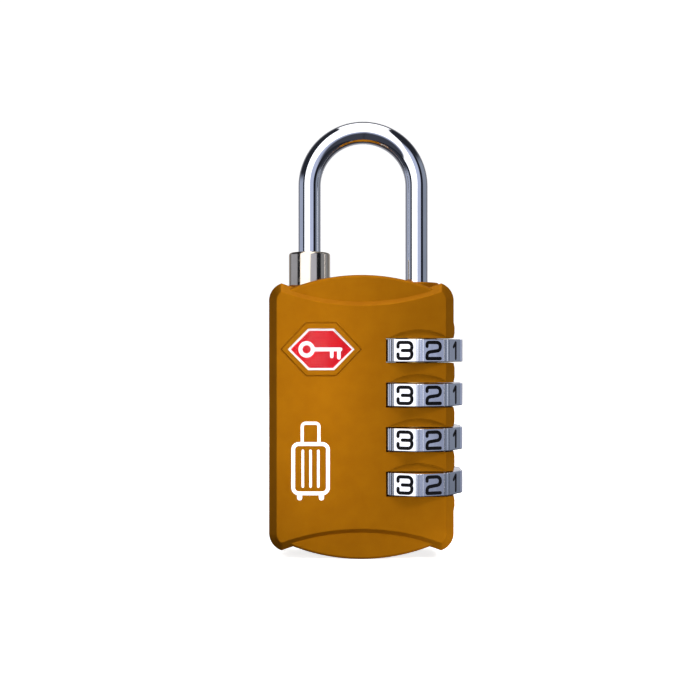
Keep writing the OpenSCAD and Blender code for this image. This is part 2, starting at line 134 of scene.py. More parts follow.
def boolean(obj, tool, operation="DIFFERENCE", own=False):
    """Cuts or joins obj with tool, then removes the tool; own is for a tool of several solids."""
    mod = obj.modifiers.new("cut", "BOOLEAN")
    mod.operation = operation
    mod.object = tool
    mod.solver = "EXACT"
    mod.use_self = own
    bake_modifiers(obj)
    bpy.data.objects.remove(tool)
    return obj


def join(objects):
    """Merges several mesh objects into the first one, without cutting."""
    bm = bmesh.new()
    for obj in objects:
        bm.from_mesh(obj.data)
    bm.to_mesh(objects[0].data)
    bm.free()
    for obj in objects[1:]:
        bpy.data.objects.remove(obj)
    return objects[0]


def soften(obj, width):
    """Rounds the sharp edges, if a width is given, and shades the rest smooth."""
    if width:
        mod = obj.modifiers.new("soften", "BEVEL")
        mod.width = width
        mod.segments = 2
        mod.limit_method = "ANGLE"
        mod.angle_limit = math.radians(40)
        mod.use_clamp_overlap = True
        mod.miter_outer = "MITER_ARC"
        bake_modifiers(obj)
    shade(obj)
    weighted = obj.modifiers.new("weighted", "WEIGHTED_NORMAL")
    weighted.keep_sharp = True
    weighted.weight = 80
    return obj


def shade(obj, angle=38):
    """Smooth shading, broken at edges sharper than the angle in degrees."""
    obj.data.shade_smooth()
    obj.data.set_sharp_from_angle(angle=math.radians(angle))
    return obj


def loft(name, loops, closed_ring=False, cap_start=True, cap_end=True):
    """Skin over a row of loops with the same number of points each."""
    count = len(loops[0])
    verts = [p for loop in loops for p in loop]
    faces = []
    rows = len(loops) if closed_ring else len(loops) - 1
    for row in range(rows):
        a = row * count
        b = ((row + 1) % len(loops)) * count
        for k in range(count):
            n = (k + 1) % count
            faces.append((a + k, a + n, b + n, b + k))
    if not closed_ring and cap_start:
        faces.append(tuple(range(count)))
    if not closed_ring and cap_end:
        last = (len(loops) - 1) * count
        faces.append(tuple(last + k for k in range(count)))
    return new_object(name, verts, faces)


def lathe(name, profile, x, y, segments=128):
    """Turns a closed profile of (radius, z) points about a vertical axis."""
    loops = []
    for k in range(segments):
        a = 2 * math.pi * k / segments
        loops.append([(x + r * math.cos(a), y + r * math.sin(a), z) for r, z in profile])
    return loft(name, loops, closed_ring=True)


def cylinder(name, x, y, z0, z1, r, segments=128):
    turns = [2 * math.pi * k / segments for k in range(segments)]
    loops = [[(x + r * math.cos(a), y + r * math.sin(a), z) for a in turns] for z in (z0, z1)]
    return loft(name, loops)


def prism(name, outline, y0, y1):
    """A drawing in X and Z, pushed from y0 to y1."""
    return loft(name, [[(x, y, z) for x, z in outline] for y in (y0, y1)])


def block(name, low, high):
    outline = [(low[0], low[2]), (high[0], low[2]), (high[0], high[2]), (low[0], high[2])]
    return prism(name, outline, low[1], high[1])


def round_path(points, radii, closed=False, steps=8):
    """A polyline whose corners are replaced by arcs of the given radii."""
    count = len(points)
    out = []
    for k, p in enumerate(points):
        r = radii[k] if isinstance(radii, (list, tuple)) else radii
        ends = not closed and k in (0, count - 1)
        if ends or r <= 0:
            out.append(Vector(p))
            continue
        here = Vector(p)
        before = Vector(points[(k - 1) % count]) - here
        after = Vector(points[(k + 1) % count]) - here
        half = before.angle(after) / 2
        reach = min(r / math.tan(half), 0.499 * before.length, 0.499 * after.length)
        radius = reach * math.tan(half)
        u, v = before.normalized(), after.normalized()
        centre = here + (u + v).normalized() * (radius / math.sin(half))
        start = here + u * reach - centre
        end = here + v * reach - centre
        sweep = start.angle_signed(end)
        for s in range(steps + 1):
            a = -sweep * s / steps
            out.append(centre + Vector((
                start.x * math.cos(a) - start.y * math.sin(a),
                start.x * math.sin(a) + start.y * math.cos(a),
            )))
    return [(p.x, p.y) for p in out]


def ribbon(path, width, closed=False, cap_steps=4):
    """Left and right edges of a stroke with round ends, as two rows of 2D points."""
    points = [Vector(p) for p in path]
    kept = [points[0]]
    for p in points[1:]:
        if (p - kept[-1]).length > 1e-6:
            kept.append(p)
    if closed and (kept[0] - kept[-1]).length < 1e-6:
        kept.pop()
    points = kept
    half = width / 2
    count = len(points)
    stations = []
    for k, p in enumerate(points):
        before = points[k - 1] if (k > 0 or closed) else p
        after = points[(k + 1) % count] if (k < count - 1 or closed) else p
        way = ((p - before).normalized() + (after - p).normalized())
        if way.length < 1e-9:
            way = after - before
        stations.append([p, way.normalized(), half])
    if not closed:
        first, last = stations[0], stations[-1]
        for s in range(1, cap_steps + 1):
            a = math.radians(80) * s / cap_steps
            stations.insert(0, [first[0] - first[1] * half * math.sin(a), first[1], half * math.cos(a)])
            stations.append([last[0] + last[1] * half * math.sin(a), last[1], half * math.cos(a)])
    left = [p + Vector((-d.y, d.x)) * h for p, d, h in stations]
    right = [p - Vector((-d.y, d.x)) * h for p, d, h in stations]
    return left, right


def stroke(name, path, width, place, low, high, closed=False):
    """Solid stroke: place(u, v, w) puts a point of the drawing at depth w into space."""
    left, right = ribbon(path, width, closed)
    loops = [
        [place(a.x, a.y, low), place(b.x, b.y, low), place(b.x, b.y, high), place(a.x, a.y, high)]
        for a, b in zip(left, right)
    ]
    return loft(name, loops, closed_ring=closed)


# ---------------------------------------------------------------------------
# Material helpers
# ---------------------------------------------------------------------------
class Graph:
    """Shorthands for building a node tree."""

    def __init__(self, tree):
        self.tree = tree

    def node(self, kind, **values):
        made = self.tree.nodes.new(kind)
        for key, value in values.items():
            setattr(made, key, value)
        return made

    def feed(self, socket, value):
        """Sets a socket from a number, a colour or another node's output."""
        if isinstance(value, bpy.types.NodeSocket):
            self.tree.links.new(value, socket)
        elif isinstance(value, tuple) and len(value) == 3 and len(socket.default_value) == 4:
            socket.default_value = (*value, 1)
        else:
            socket.default_value = value

    def math(self, operation, a, b=0.0):
        node = self.node("ShaderNodeMath", operation=operation)
        self.feed(node.inputs[0], a)
        self.feed(node.inputs[1], b)
        return node.outputs["Value"]

    def remap(self, value, low, high, out_low=0.0, out_high=1.0, kind="LINEAR"):
        node = self.node("ShaderNodeMapRange", interpolation_type=kind)
        names = ("Value", "From Min", "From Max", "To Min", "To Max")
        for name, given in zip(names, (value, low, high, out_low, out_high)):
            self.feed(node.inputs[name], given)
        return node.outputs["Result"]

    def step(self, value, low, high):
        return self.remap(value, low, high, kind="SMOOTHSTEP")

    def mix(self, factor, a, b):
        node = self.node("ShaderNodeMix", data_type="RGBA")
        sockets = [s for s in node.inputs if s.enabled]
        for socket, value in zip(sockets, (factor, a, b)):
            self.feed(socket, value)
        return [s for s in node.outputs if s.enabled][0]


class Look(Graph):
    """A material whose patterns follow the object's own coordinates."""

    def __init__(self, name):
        self.mat = bpy.data.materials.new(name)
        self.mat.use_nodes = True
        super().__init__(self.mat.node_tree)
        self.shader = self.tree.nodes["Principled BSDF"]
        self.coords = self.node("ShaderNodeTexCoord").outputs["Object"]

    def set(self, **values):
        for key, value in values.items():
            self.feed(self.shader.inputs[key.replace("_", " ").title().replace("Ior", "IOR")], value)

    def stretched(self, x=1, y=1, z=1):
        """Object coordinates scaled along each axis."""
        node = self.node("ShaderNodeMapping")
        self.feed(node.inputs["Scale"], (x, y, z))
        self.feed(node.inputs["Vector"], self.coords)
        return node.outputs["Vector"]

    def noise(self, scale, detail=3, rough=0.5, vector=None):
        node = self.node("ShaderNodeTexNoise")
        for name, value in (("Scale", scale), ("Detail", detail), ("Roughness", rough)):
            self.feed(node.inputs[name], value)
        self.feed(node.inputs["Vector"], vector or self.coords)
        return node.outputs["Fac"]

    def edges(self, radius, low=0.02, high=0.3):
        """About 1 on sharp convex or concave edges and 0 on flats, from the rounded normal."""
        bevel = self.node("ShaderNodeBevel", samples=4)
        self.feed(bevel.inputs["Radius"], radius)
        flat = self.node("ShaderNodeNewGeometry")
        dot = self.node("ShaderNodeVectorMath", operation="DOT_PRODUCT")
        self.feed(dot.inputs[0], bevel.outputs["Normal"])
        self.feed(dot.inputs[1], flat.outputs["Normal"])
        turned = self.math("SUBTRACT", 1.0, dot.outputs["Value"])
        return self.remap(turned, low, high, 0, 1)

    def bump(self, height, strength, distance):
        node = self.node("ShaderNodeBump")
        for name, value in (("Strength", strength), ("Distance", distance), ("Height", height)):
            self.feed(node.inputs[name], value)
        self.feed(self.shader.inputs["Normal"], node.outputs["Normal"])


def paint_look(name, colour, deep):
    """Satin enamel over die-cast metal: fine orange peel, faint mottling, and speckled lighter orange along the
    edges, partly scuffed paint and partly a painted edge highlight.
    """
    look = Look(name)
    mottle = look.remap(look.noise(260, 4, 0.6), 0.35, 0.65, 0, 1)
    fine = look.noise(5200, 2, 0.6)
    base = look.mix(mottle, colour, deep)
    # Lighter orange in specks along every convex and concave edge: partly scuffed paint, partly a painted edge
    # highlight.
    edge = look.edges(0.12 * MM)
    speck = look.remap(look.noise(2400, 3, 0.7), 0.45, 0.75, 0, 0.5)
    scuffed_and_highlit = look.math("MULTIPLY", edge, speck)
    wear_and_highlight_colour = tuple(min(1, c * 1.5 + 0.03) for c in colour)
    look.set(base_color=look.mix(scuffed_and_highlit, base, wear_and_highlight_colour))
    look.set(roughness=look.remap(look.noise(900, 5, 0.65), 0.3, 0.7, 0.36, 0.44))
    peel = look.math("ADD", fine, look.math("MULTIPLY", look.noise(1500, 2, 0.5), 1.6))
    look.bump(peel, 0.12, 0.02 * MM)
    look.set(metallic=0.45, specular_ior_level=0.2, specular_tint=(1.0, 0.5, 0.05))
    return look.mat


def chrome_look(name, tint, rough, streak):
    """Bright plating with faint polishing streaks and a few soft smudges."""
    look = Look(name)
    along = look.stretched(*streak)
    streaks = look.noise(1400, 4, 0.6, along)
    smudge = look.noise(180, 3, 0.6)
    deep = tuple(c * 0.93 for c in tint)
    look.set(base_color=look.mix(look.remap(smudge, 0.35, 0.7, 0, 1), tint, deep))
    from_streaks = look.remap(streaks, 0.3, 0.7, 0, rough * 0.7)
    from_smudges = look.remap(smudge, 0.4, 0.7, 0, rough * 0.4)
    look.set(roughness=look.math("ADD", look.math("ADD", from_streaks, from_smudges), rough * 0.6))
    look.bump(streaks, 0.05, 0.004 * MM)
    look.set(metallic=1.0)
    return look.mat


def machined_look(name, tint, rough, ring_scale=5200):
    """Turned metal: fine rings around a vertical axis, darker grease in random patches, and every edge made
    lighter as a painted highlight.
    """
    look = Look(name)
    rings = look.noise(ring_scale, 3, 0.7, look.stretched(0.04, 0.04, 1))
    grime = look.noise(420, 4, 0.65)
    edge = look.edges(0.15 * MM)
    dull = tuple(c * 0.62 for c in tint)
    base = look.mix(look.remap(grime, 0.4, 0.72, 0, 1), tint, dull)
    # Lighter tint along every convex and concave edge: a painted edge highlight.
    highlit_tint = tuple(min(1, c * 1.2) for c in tint)
    look.set(base_color=look.mix(look.math("MULTIPLY", edge, 0.6), base, highlit_tint))
    look.set(roughness=look.remap(rings, 0.3, 0.7, rough * 0.7, rough * 1.3))
    look.bump(rings, 0.2, 0.006 * MM)
    look.set(metallic=1.0)
    return look.mat


def ink_look(name, colour, rough, painted_glow=0.0):
    """Filled or printed paint with a grainy, slightly uneven surface; the last number sets an emission, a painted
    glow that lights up the ink under any light.
    """
    look = Look(name)
    grain = look.noise(6500, 3, 0.6)
    lighter = tuple(min(1, c * 1.25 + 0.01) for c in colour)
    look.set(base_color=look.mix(look.remap(grain, 0.35, 0.7, 0, 1), colour, lighter))
    look.set(roughness=look.remap(look.noise(2200, 3, 0.5), 0.3, 0.7, rough * 0.8, rough * 1.2))
    look.bump(grain, 0.15, 0.01 * MM)
    look.set(specular_ior_level=0.05)
    # Emission in the ink's own colour: a painted glow, not a lamp.
    if painted_glow:
        look.set(emission_color=colour, emission_strength=painted_glow)
    return look.mat


def resin_look(name):
    """Clear epoxy dome, very slightly wavy."""
    look = Look(name)
    wave = look.noise(320, 2, 0.5)
    tint = look.mix(look.remap(wave, 0.3, 0.7, 0, 1), (1, 1, 1), (0.97, 0.985, 1))
    look.set(base_color=tint)
    look.set(roughness=look.remap(look.noise(1500, 2, 0.5), 0.3, 0.7, 0.01, 0.04))
    look.bump(wave, 0.04, 0.05 * MM)
    look.set(transmission_weight=1.0, ior=1.12, specular_ior_level=0.2)
    return look.mat


ORANGE = (0.46, 0.165, 0.004)
ORANGE_DEEP = (0.42, 0.147, 0.0035)
LOOKS = {
    "cover_paint": paint_look("cover_paint_look", ORANGE, ORANGE_DEEP),
    "body_paint": paint_look("body_paint_look", ORANGE, ORANGE_DEEP),
    "shackle_chrome": chrome_look("shackle_chrome_look", (0.86, 0.87, 0.9), 0.05, (1, 1, 0.06)),
    "dial_chrome": chrome_look("dial_chrome_look", (0.8, 0.82, 0.87), 0.1, (1, 1, 0.3)),
    "collar_nickel": chrome_look("collar_nickel_look", (0.8, 0.7, 0.56), 0.12, (0.05, 0.05, 1)),
    "steel": machined_look("steel_look", (0.5, 0.51, 0.53), 0.35),
    "spring_steel": machined_look("spring_steel_look", (0.4, 0.41, 0.44), 0.3, 2500),
    "brass": machined_look("brass_look", (0.72, 0.52, 0.2), 0.28),
    # The last number of badge_white and badge_red is a painted glow: emission that lights up the badge under any
    # light.
    "badge_white": ink_look("badge_white_look", (0.92, 0.9, 0.94), 0.22, 0.25),
    "badge_red": ink_look("badge_red_look", (0.5, 0.0002, 0.006), 0.3, 0.05),
    "badge_resin": resin_look("badge_resin_look"),
    "digit_ink": ink_look("digit_ink_look", (0.004, 0.004, 0.006), 0.4),
    # print_ink glows at 0.5: a painted glow on the white print.
    "print_ink": ink_look("print_ink_look", (0.95, 0.95, 0.95), 0.45, 0.5),
}


def dress(obj, look):
    obj.data.materials.clear()
    obj.data.materials.append(LOOKS[look])
    return obj


def finish_piece(obj, body, slot, *nodes):
    """Dresses a piece, hangs it on its body and lets it stand for CAD nodes."""
    dress(obj, slot)
    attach(obj, body)
    if nodes:
        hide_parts(*nodes)
    return obj


# ---------------------------------------------------------------------------
# Housing
# ---------------------------------------------------------------------------
def outline(inset, arc_steps=64, corner_steps=16):
    """Outline of a cover, drawn in by inset: every arc keeps its centre."""
    cx, cz = HALF_W - CORNER_R, EAR_Z - CORNER_R
    corner, arc = CORNER_R - inset, ARC_R + inset
    apart = math.hypot(cx, ARC_Z - cz)
    along = (arc**2 - corner**2 + apart**2) / (2 * apart)
    aside = math.sqrt(arc**2 - along**2)
    ux, uz = cx / apart, (cz - ARC_Z) / apart
    tip_x = along * ux - aside * uz
    tip_z = ARC_Z + along * uz + aside * ux
    tip_angle = math.atan2(tip_z - cz, tip_x - cx)
    ear_angles = [tip_angle * (1 - k / corner_steps) for k in range(corner_steps + 1)]
    ear = [(cx + corner * math.cos(a), cz + corner * math.sin(a)) for a in ear_angles]
    half_angle = math.asin(tip_x / arc)
    arc_angles = [half_angle * (1 - 2 * k / arc_steps) for k in range(1, arc_steps)]
    lower = [(arc * math.sin(a), -(ARC_Z - arc * math.cos(a))) for a in arc_angles]
    right = ear + [(x, -z) for x, z in reversed(ear)]
    left = [(-x, -z) for x, z in right]
    upper = [(-x, -z) for x, z in lower]
    return right + lower + left + upper


def rim_profile():
    """(inset, distance behind the face) from the seam to the face, with both bevel edges rounded."""
    corners = [(0, COVER_T), (0, BEVEL_D), (BEVEL_W, 0), (BEVEL_W + 1 * MM, 0)]
    rounded = round_path(corners, [0, 0.16 * MM, 0.22 * MM, 0], steps=5)
    return rounded[:-1]


def slot_cutters():
    return join([
        cylinder(f"slot_{n}", DIAL_X, MID_Y, z - SLOT_H / 2, z + SLOT_H / 2, SLOT_R, 256)
        for n, z in zip(DIALS, DIAL_Z)
    ])


def dish_cutters(side):
    """Shallow spherical scoops above the windows; side is -1 for the front, 1 for the back."""
    ball_r, half_w, height = 42 * MM, 5 * MM, 1.4 * MM
    arch_r = (half_w**2 + height**2) / (2 * height)
    drop = math.sqrt(ball_r**2 - arch_r**2)
    face = FACE_Y if side < 0 else BACK_Y
    low, high = SLOT_H / 2 - 0.3 * MM, SLOT_H / 2 + height + 0.15 * MM
    columns, rows = 48, 10
    made = []
    for n, dial_z in zip(DIALS, DIAL_Z):
        loops = []
        for c in range(columns + 1):
            x = (half_w + 0.6 * MM) * (2 * c / columns - 1)
            heights = [low + (high - low) * r / rows for r in range(rows + 1)]
            centre_z = SLOT_H / 2 + height - arch_r
            depths = [math.sqrt(ball_r**2 - x**2 - (z - centre_z) ** 2) - drop for z in heights]
            loop = [(DIAL_X + x, face - side * d, dial_z + z) for z, d in zip(heights, depths)]
            loop += [(DIAL_X + x, face + side * 1 * MM, dial_z + z) for z in (high, low)]
            loops.append(loop)
        made.append(loft(f"dish_{side}_{n}", loops))
    return join(made)


def hexagon(width, height, flat):
    w, h, f = width / 2, height / 2, flat / 2
    corners = [(-w, 0), (-f, h), (f, h), (w, 0), (f, -h), (-f, -h)]
    return [(BADGE_X + x, BADGE_Z + z) for x, z in corners]


def cover_blank(name, side):
    """One cover plate with its bevelled rim; side is -1 for the front, 1 for the back."""
    face = FACE_Y if side < 0 else BACK_Y
    loops = [[(x, face - side * depth, z) for x, z in outline(inset)] for inset, depth in rim_profile()]
    return loft(name, loops)


BOSS = (12.9 * MM, 8.47 * MM, 4.9 * MM)
WINDOW = (10.8 * MM, 6.77 * MM, 4.2 * MM)


def grown(size, by):
    return (size[0] + by * 2.35, size[1] + by * 2, size[2] + by * 1.0)


def front_cover():
    cover = cover_blank("front_cover_shell", -1)
    boolean(cover, dish_cutters(-1), own=True)
    boolean(cover, slot_cutters(), own=True)
    groove = prism("groove", hexagon(*grown(BOSS, 0.15 * MM)), FACE_Y - 1 * MM, FACE_Y + 0.26 * MM)
    boolean(cover, groove)
    boss_top = FACE_Y - 0.16 * MM
    boss = loft("boss", [
        [(x, FACE_Y + 0.4 * MM, z) for x, z in hexagon(*grown(BOSS, -0.02 * MM))],
        [(x, boss_top + 0.1 * MM, z) for x, z in hexagon(*grown(BOSS, -0.04 * MM))],
        [(x, boss_top + 0.03 * MM, z) for x, z in hexagon(*grown(BOSS, -0.08 * MM))],
        [(x, boss_top, z) for x, z in hexagon(*grown(BOSS, -0.16 * MM))],
    ])
    boolean(cover, boss, "UNION")
    window = prism("window", hexagon(*WINDOW), FACE_Y - 1 * MM, FACE_Y + 0.5 * MM)
    boolean(cover, window)
    soften(cover, 0.07 * MM)
    return finish_piece(cover, "housing", "cover_paint", "front_cover")


def back_cover():
    cover = cover_blank("back_cover_shell", 1)
    boolean(cover, dish_cutters(1), own=True)
    boolean(cover, slot_cutters(), own=True)
    soften(cover, 0.07 * MM)
    return finish_piece(cover, "housing", "cover_paint", "back_cover")


def lens(name, end):
    """The bulge of the middle body beyond the covers; end is 1 at the top, -1 at the bottom."""
    reach = ARC_Z - LENS_Z
    hidden_r = ARC_R + BEVEL_W + 0.25 * MM
    half_w, least_depth = 12.3 * MM, 1.2 * MM
    half_angle = math.asin(half_w / LENS_R)
    rim = 0.45 * MM
    loops = []
    steps = 72
    for k in range(steps + 1):
        a = half_angle * (2 * k / steps - 1)
        inner = reach * math.cos(a) - math.sqrt(hidden_r**2 - (reach * math.sin(a)) ** 2)
        inner = min(inner, LENS_R - least_depth)
        section = round_path(
            [(inner, -LENS_HALF_T), (LENS_R, -LENS_HALF_T), (LENS_R, LENS_HALF_T), (inner, LENS_HALF_T)],
            [0, rim, rim, 0], closed=True, steps=6,
        )
        loops.append([
            (r * math.sin(a), MID_Y + y, end * (LENS_Z + r * math.cos(a))) for r, y in section
        ])
    return loft(name, loops)


def side_pad(name, low, high):
    """Grip strip between two windows, cut back where it nears them."""
    x0, rise, ramp = HALF_W - 1 * MM, 0.22 * MM, 0.8 * MM
    back = 0.15 * MM
    outline_xz = [
        (x0, low), (HALF_W + rise - back, low), (HALF_W + rise, low + ramp),
        (HALF_W + rise, high - ramp), (HALF_W + rise - back, high), (x0, high),
    ]
    return prism(name, outline_xz, MID_Y - 4 * MM, MID_Y + 4 * MM)


def middle_body():
    body = prism("middle_body_shell", outline(0), MID_Y - SEAM_HALF_T, MID_Y + SEAM_HALF_T)
    for end in (-1, 1):
        boolean(body, lens(f"lens_{end}", end), "UNION")
    pad_z = 15.4 * MM
    edges = [-pad_z] + [z + way * SLOT_H / 2 for z in reversed(DIAL_Z) for way in (-1, 1)] + [pad_z]
    for low, high in zip(edges[::2], edges[1::2]):
        boolean(body, side_pad("pad", low, high), "UNION")
    boolean(body, slot_cutters(), own=True)

    # Bores for the hubs and their lugs, the bushing, the spring plug, the collar and the key core
    outside = 30 * MM
    hub_bore_r, seat_r, key_bore_r = 3.62 * MM, 3.85 * MM, 3.56 * MM
    hub_bore_lo, hub_bore_hi, seat_top = -15 * MM, 17 * MM, -14.6 * MM
    lug_way_r, lug_way_half = 4.2 * MM, 0.55 * MM
    collar_floor, key_bore_top = 7.95 * MM, 8.5 * MM
    boolean(body, cylinder("hub_bore", DIAL_X, MID_Y, hub_bore_lo, hub_bore_hi, hub_bore_r))
    boolean(body, block(
        "lug_way", (DIAL_X - lug_way_r, MID_Y - lug_way_half, hub_bore_lo),
        (DIAL_X, MID_Y + lug_way_half, DIAL_Z[0]),
    ))
    boolean(body, cylinder("leg_seat", DIAL_X, MID_Y, bushing_lo.z, outside, seat_r))
    boolean(body, cylinder("plug_seat", DIAL_X, MID_Y, -outside, seat_top, seat_r))
    boolean(body, cylinder("collar_bore", KEY_X, MID_Y, collar_floor, outside, COLLAR_R + 0.125 * MM))
    boolean(body, cylinder("key_bore", KEY_X, MID_Y, -outside, key_bore_top, key_bore_r))
    soften(body, 0.07 * MM)
    return finish_piece(body, "housing", "body_paint", "middle_body")


def leg_bushing():
    lo, hi = bushing_lo.z, bushing_hi.z
    step = 20.2 * MM
    outer, neck, bore = 3.83 * MM, 3.7 * MM, ROD_R + 0.125 * MM
    profile = round_path(
        [(bore, lo), (outer, lo), (outer, step), (neck, step), (neck, hi), (bore, hi)],
        [0.05 * MM, 0.1 * MM, 0.05 * MM, 0.05 * MM, 0.25 * MM, 0.2 * MM], closed=True, steps=5,
    )
    piece = shade(lathe("leg_bushing_ring", profile, DIAL_X, MID_Y))
    return finish_piece(piece, "housing", "body_paint", "leg_bushing")


# ---------------------------------------------------------------------------
# Badge and print
# ---------------------------------------------------------------------------
def badge():
    rim_out, rim_in = -0.02 * MM, -0.38 * MM
    top, low = FACE_Y - 0.08 * MM, FACE_Y + 0.16 * MM
    floor = FACE_Y + 0.48 * MM
    tray = loft("badge_tray", [
        [(x, floor, z) for x, z in hexagon(*grown(WINDOW, rim_out))],
        [(x, top + 0.06 * MM, z) for x, z in hexagon(*grown(WINDOW, rim_out))],
        [(x, top, z) for x, z in hexagon(*grown(WINDOW, rim_out - 0.06 * MM))],
        [(x, top + 0.02 * MM, z) for x, z in hexagon(*grown(WINDOW, rim_out - 0.14 * MM))],
        [(x, low, z) for x, z in hexagon(*grown(WINDOW, rim_in))],
        [(x, low + 0.06 * MM, z) for x, z in hexagon(*grown(WINDOW, rim_in))],
    ])
    soften(tray, 0.03 * MM)
    finish_piece(tray, "housing", "badge_white", "badge_plate")

    inlay = loft("badge_inlay", [
        [(x, low + 0.05 * MM, z) for x, z in hexagon(*grown(WINDOW, rim_in - 0.01 * MM))],
        [(x, low - 0.03 * MM, z) for x, z in hexagon(*grown(WINDOW, rim_in - 0.04 * MM))],
    ])
    soften(inlay, 0.02 * MM)
    finish_piece(inlay, "housing", "badge_red", "badge_enamel")

    # Generic key, drawn in white on the red field
    def place(u, v, w):
        return (BADGE_X + u, low - 0.03 * MM - w, BADGE_Z + v)

    ring = [
        (-2.35 * MM + 1.0 * MM * math.cos(a), 1.0 * MM * math.sin(a))
        for a in (2 * math.pi * k / 32 for k in range(32))
    ]
    shaft = [(-1.3 * MM, 0), (3.1 * MM, 0)]
    short_tooth = [(1.7 * MM, 0), (1.7 * MM, -1.15 * MM)]
    long_tooth = [(2.85 * MM, 0), (2.85 * MM, -1.35 * MM)]
    under, over = -0.02 * MM, 0.03 * MM
    parts = [stroke("key_ring", ring, 0.62 * MM, place, under, over, closed=True)]
    for path, width in ((shaft, 0.6 * MM), (short_tooth, 0.55 * MM), (long_tooth, 0.55 * MM)):
        parts.append(stroke("key_stroke", path, width, place, under, over))
    key = parts[0]
    for part in parts[1:]:
        boolean(key, part, "UNION")
    key.name = "badge_key_mark"
    shade(key)
    finish_piece(key, "housing", "badge_white")

    dome_loops = []
    steps = 8
    base = low - 0.08 * MM
    rise = 0.28 * MM
    for k in range(steps + 1):
        a = math.pi / 2 * k / steps
        inset = rim_in + 0.18 * MM - 1.6 * MM * (1 - math.cos(a))
        dome_loops.append([(x, base - rise * math.sin(a), z) for x, z in hexagon(*grown(WINDOW, inset))])
    dome = loft("badge_dome_lens", dome_loops)
    soften(dome, 0)
    finish_piece(dome, "housing", "badge_resin", "badge_dome")


def luggage_print():
    """Generic trolley case in white ink, in place of the wording."""
    x, z0, z1 = -8.2 * MM, -13.4 * MM, -0.6 * MM
    half = 2.8 * MM
    wide = 0.62 * MM
    top = z1 - 3.7 * MM
    foot = z0 + 1.15 * MM

    def place(u, v, w):
        return (u, FACE_Y - w, v)

    case = round_path(
        [(x - half, foot), (x + half, foot), (x + half, top), (x - half, top)], 0.9 * MM, closed=True,
    )
    under, over = -0.05 * MM, 0.02 * MM
    parts = [stroke("case", case, wide, place, under, over, closed=True)]
    for k in (-1, 0, 1):
        rib = [(x + 1.25 * MM * k, foot + 1.1 * MM), (x + 1.25 * MM * k, top - 1.1 * MM)]
        parts.append(stroke(f"rib_{k}", rib, 0.42 * MM, place, under, over))
    grip = round_path(
        [(x - 1.35 * MM, top + 0.1 * MM), (x - 1.35 * MM, z1 - 0.35 * MM),
         (x + 1.35 * MM, z1 - 0.35 * MM), (x + 1.35 * MM, top + 0.1 * MM)],
        [0, 0.55 * MM, 0.55 * MM, 0],
    )
    parts.append(stroke("grip", grip, 0.5 * MM, place, under, over))
    for side in (-1, 1):
        wheel = [(x + side * 1.75 * MM, foot - 0.1 * MM), (x + side * 1.75 * MM, z0 + 0.42 * MM)]
        parts.append(stroke(f"wheel_{side}", wheel, 0.84 * MM, place, under, over))
    mark = parts[0]
    for part in parts[1:]:
        boolean(mark, part, "UNION")
    mark.name = "luggage_mark"
    shade(mark)
    finish_piece(mark, "housing", "print_ink")


# ---------------------------------------------------------------------------
# Dials
# ---------------------------------------------------------------------------
GLYPH_W = 2.85 * MM
GLYPH_H = 3.15 * MM
STROKE_W = 0.56 * MM
ENGRAVE = 0.16 * MM


def glyph_strokes(digit):
    """Centre lines of a digit: (points, corner radii, closed) for each stroke."""
    a = (GLYPH_W - STROKE_W) / 2
    b = (GLYPH_H - STROKE_W) / 2
    m = MM
    hook = b - 0.72 * m
    shapes = {
        0: [([(-a, -b), (-a, b), (a, b), (a, -b)], 0.85 * m, True)],
        1: [([(-0.5 * m, b - 0.7 * m), (0.18 * m, b), (0.18 * m, -b)], 0.03 * m, False)],
        2: [([(-a, hook + 0.1 * m), (-a, b), (a, b), (a, 0.02 * m), (-a, -0.3 * m), (-a, -b), (a, -b)],
             [0, 0.7 * m, 0.75 * m, 0.6 * m, 0.6 * m, 0.12 * m, 0], False)],
        3: [([(-a, hook), (-a, b), (a, b), (a, 0), (-0.42 * m, 0)],
             [0, 0.6 * m, 0.65 * m, 0.45 * m, 0], False),
            ([(-0.42 * m, 0), (a, 0), (a, -b), (-a, -b), (-a, -hook)],
             [0, 0.45 * m, 0.65 * m, 0.6 * m, 0], False)],
        4: [([(0.42 * m, b), (-a, -0.42 * m), (a, -0.42 * m)], 0.05 * m, False),
            ([(0.42 * m, 0.35 * m), (0.42 * m, -b)], 0, False)],
        5: [([(a - 0.1 * m, b), (-a + 0.08 * m, b), (-a + 0.08 * m, 0.2 * m), (a, 0.2 * m), (a, -b),
              (-a, -b), (-a, -hook)],
             [0, 0.05 * m, 0.08 * m, 0.65 * m, 0.7 * m, 0.6 * m, 0], False)],
        6: [([(-a, -b), (-a, 0.25 * m), (a, 0.25 * m), (a, -b)], 0.62 * m, True),
            ([(a - 0.05 * m, hook + 0.1 * m), (a - 0.05 * m, b), (-a, b), (-a, -0.5 * m)],
             [0, 0.6 * m, 0.75 * m, 0], False)],
        7: [([(-a, b), (a, b), (-0.35 * m, -b)], [0, 0.08 * m, 0], False)],
        8: [([(-a + 0.1 * m, 0.08 * m), (-a + 0.1 * m, b), (a - 0.1 * m, b), (a - 0.1 * m, 0.08 * m)],
             0.5 * m, True),
            ([(-a, -b), (-a, 0.08 * m), (a, 0.08 * m), (a, -b)], 0.6 * m, True)],
        9: [([(-a, b), (-a, -0.25 * m), (a, -0.25 * m), (a, b)], 0.62 * m, True),
            ([(-a + 0.05 * m, -hook - 0.1 * m), (-a + 0.05 * m, -b), (a, -b), (a, 0.5 * m)],
             [0, 0.6 * m, 0.75 * m, 0], False)],
    }
    return shapes[digit]


def panel_place(angle, z):
    """Puts a drawing on the flat panel that faces angle (radians from the front, towards +X)."""
    out = Vector((math.sin(angle), -math.cos(angle)))
    side = Vector((math.cos(angle), math.sin(angle)))
    centre = Vector((DIAL_X, MID_Y))

    def place(u, v, w):
        p = centre + out * (PANEL_R + w) + side * u
        return (p.x, p.y, z + v)

    return place


